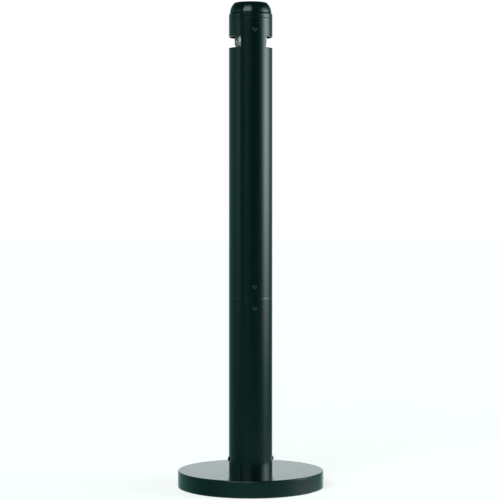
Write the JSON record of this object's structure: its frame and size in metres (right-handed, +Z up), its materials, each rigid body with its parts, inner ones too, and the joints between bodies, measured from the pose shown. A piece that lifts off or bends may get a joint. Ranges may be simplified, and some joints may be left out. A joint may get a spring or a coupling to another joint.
{
  "type": "ashtray bin",
  "caption": "Free-standing smokers' pole: weighted round foot, two-piece painted steel column with two side windows and a domed cap, canister inside.",
  "frame": {"origin": "centre of the foot's underside, on the ground", "axes": "+Z up the pole, -Y towards the front web with the three screws, the windows open to -X and +X"},
  "size_m": [0.3174, 0.3174, 1.0537],
  "materials": {
    "green_powder_coat": "semi-gloss dark green powder coat",
    "black_oxide_screws": "black oxide, oiled",
    "zinc_plated_steel": "bright zinc plate",
    "galvanised_sheet": "hot-dip galvanised, fine spangle",
    "stainless_sheet": "brushed stainless",
    "cast_concrete": "cast concrete",
    "black_rubber": "moulded rubber"
  },
  "bodies": {
    "base": {"base_shell": "green_powder_coat", "base_weight": "cast_concrete", "bottom_plate": "galvanised_sheet", "bottom_plate_screws": "zinc_plated_steel", "foot_ring": "black_rubber", "base_socket": "zinc_plated_steel", "socket_bolts": "zinc_plated_steel", "socket_washers": "zinc_plated_steel", "socket_nuts": "zinc_plated_steel", "canister_seat": "black_rubber", "lower_tube": "green_powder_coat", "base_screws": "black_oxide_screws", "coupling_sleeve": "zinc_plated_steel", "sleeve_screws": "black_oxide_screws"},
    "upper_column": {"upper_tube": "green_powder_coat", "lock_nut": "zinc_plated_steel", "butt_funnel": "galvanised_sheet", "stub_plate_front": "stainless_sheet", "stub_plate_rear": "stainless_sheet", "cap": "green_powder_coat", "cap_screws": "black_oxide_screws"},
    "lock_screw": {"lock_screw": "black_oxide_screws"},
    "canister": {"canister": "galvanised_sheet", "rim_wire": "zinc_plated_steel", "canister_bottom": "galvanised_sheet", "bail_ears": "galvanised_sheet", "ear_rivets": "zinc_plated_steel"},
    "bail": {"bail": "zinc_plated_steel"}
  },
  "joints": [
    {"name": "upper_column_lift", "type": "slide", "parent": "base", "child": "upper_column", "axis": [0, 0, 1], "range_m": [0, 0.15]},
    {"name": "lock_screw_turn", "type": "hinge", "parent": "upper_column", "child": "lock_screw", "pos_m": [0, -0.0475, 0.438], "axis": [0, -1, 0], "continuous": true},
    {"name": "canister_lift", "type": "slide", "parent": "base", "child": "canister", "axis": [0, 0, 1], "range_m": [0, 0.42]},
    {"name": "bail_swing", "type": "hinge", "parent": "canister", "child": "bail", "pos_m": [0, 0, 0.4701], "axis": [1, 0, 0], "range_deg": [0, 180]}
  ]
}
